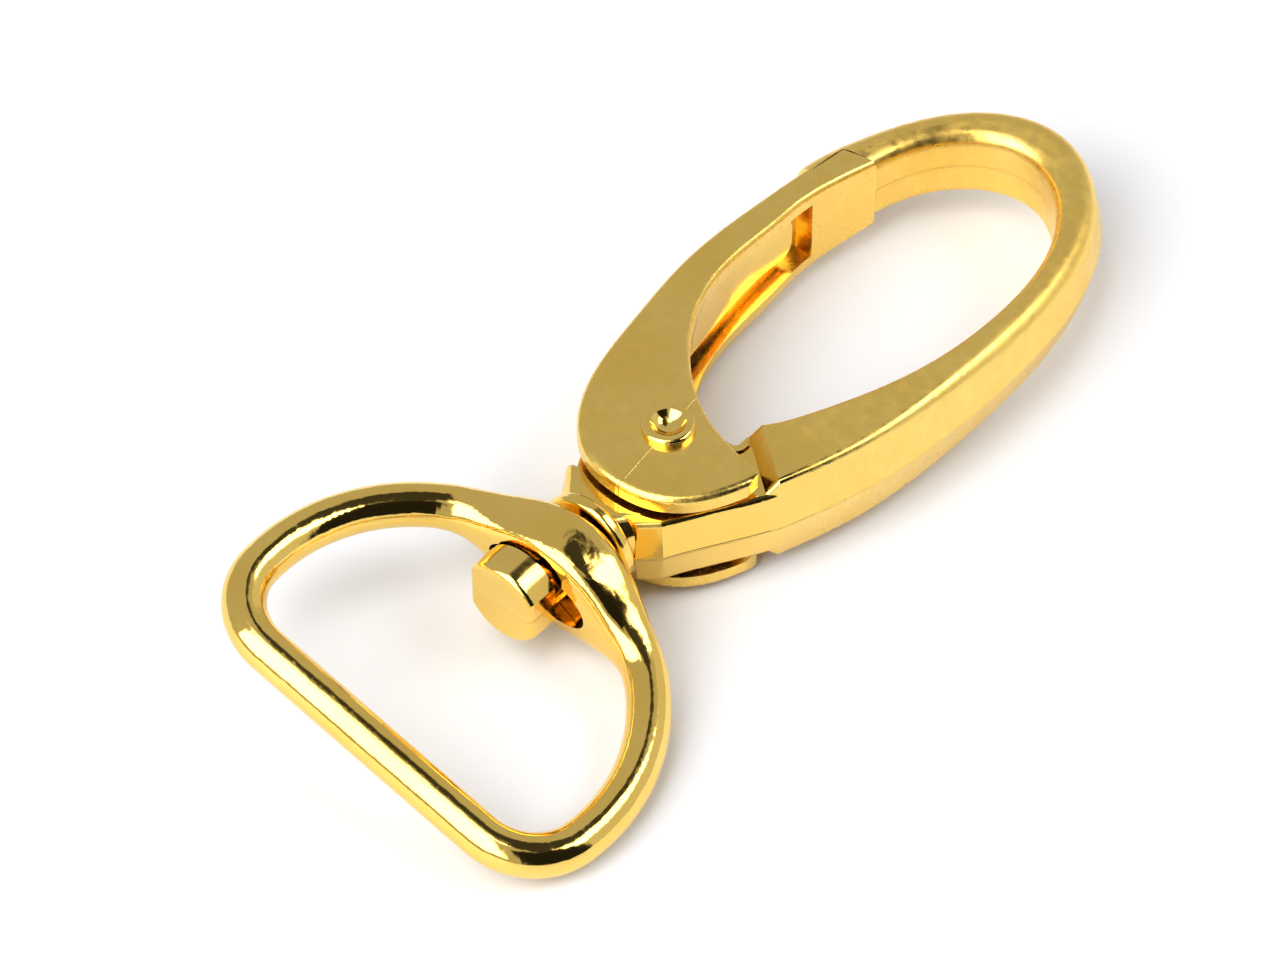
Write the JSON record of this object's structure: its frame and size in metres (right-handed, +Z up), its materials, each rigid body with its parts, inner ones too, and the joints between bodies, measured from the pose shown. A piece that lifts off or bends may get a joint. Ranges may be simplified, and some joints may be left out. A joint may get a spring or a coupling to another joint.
{
  "type": "swivel trigger hook",
  "caption": "Oval swivel trigger hook: a cast hook with a sprung gate on a rivet, and a D-ring for a strap that swivels on the hook's stud.",
  "frame": {"origin": "on the surface that the hook lies on, under the middle of the box that holds it", "axes": "+Y along the swivel axis from the strap bar to the nose, +X towards the spine arm, away from the gate, +Z up from the surface it lies on"},
  "size_m": [0.0242, 0.0566, 0.008],
  "materials": {
    "plated_casting": "polished gold plating on a zinc alloy casting",
    "plated_gate": "polished gold plating on a zinc alloy casting",
    "plated_ring": "polished gold plating on a zinc alloy casting",
    "plated_rivet": "bright gold plating on a steel rivet",
    "plated_spring": "bright gold plating on spring steel strip"
  },
  "bodies": {
    "hook": {"hook_body": "plated_casting", "leaf_spring": "plated_spring"},
    "gate": {"gate": "plated_gate", "pivot_rivet": "plated_rivet"},
    "ring": {"d_ring": "plated_ring"}
  },
  "joints": [
    {"name": "swivel", "type": "hinge", "parent": "hook", "child": "ring", "pos_m": [-0.00049, -0.0124, 0.00399], "axis": [0, 1, 0], "continuous": true},
    {"name": "gate_pivot", "type": "hinge", "parent": "hook", "child": "gate", "pos_m": [-0.00039, -0.0037, 0.00399], "axis": [0, 0, -1], "range_deg": [0, 24], "stiffness_Nm_per_rad": 0.06, "springref_deg": -20.05, "deforming": ["leaf_spring"]}
  ]
}
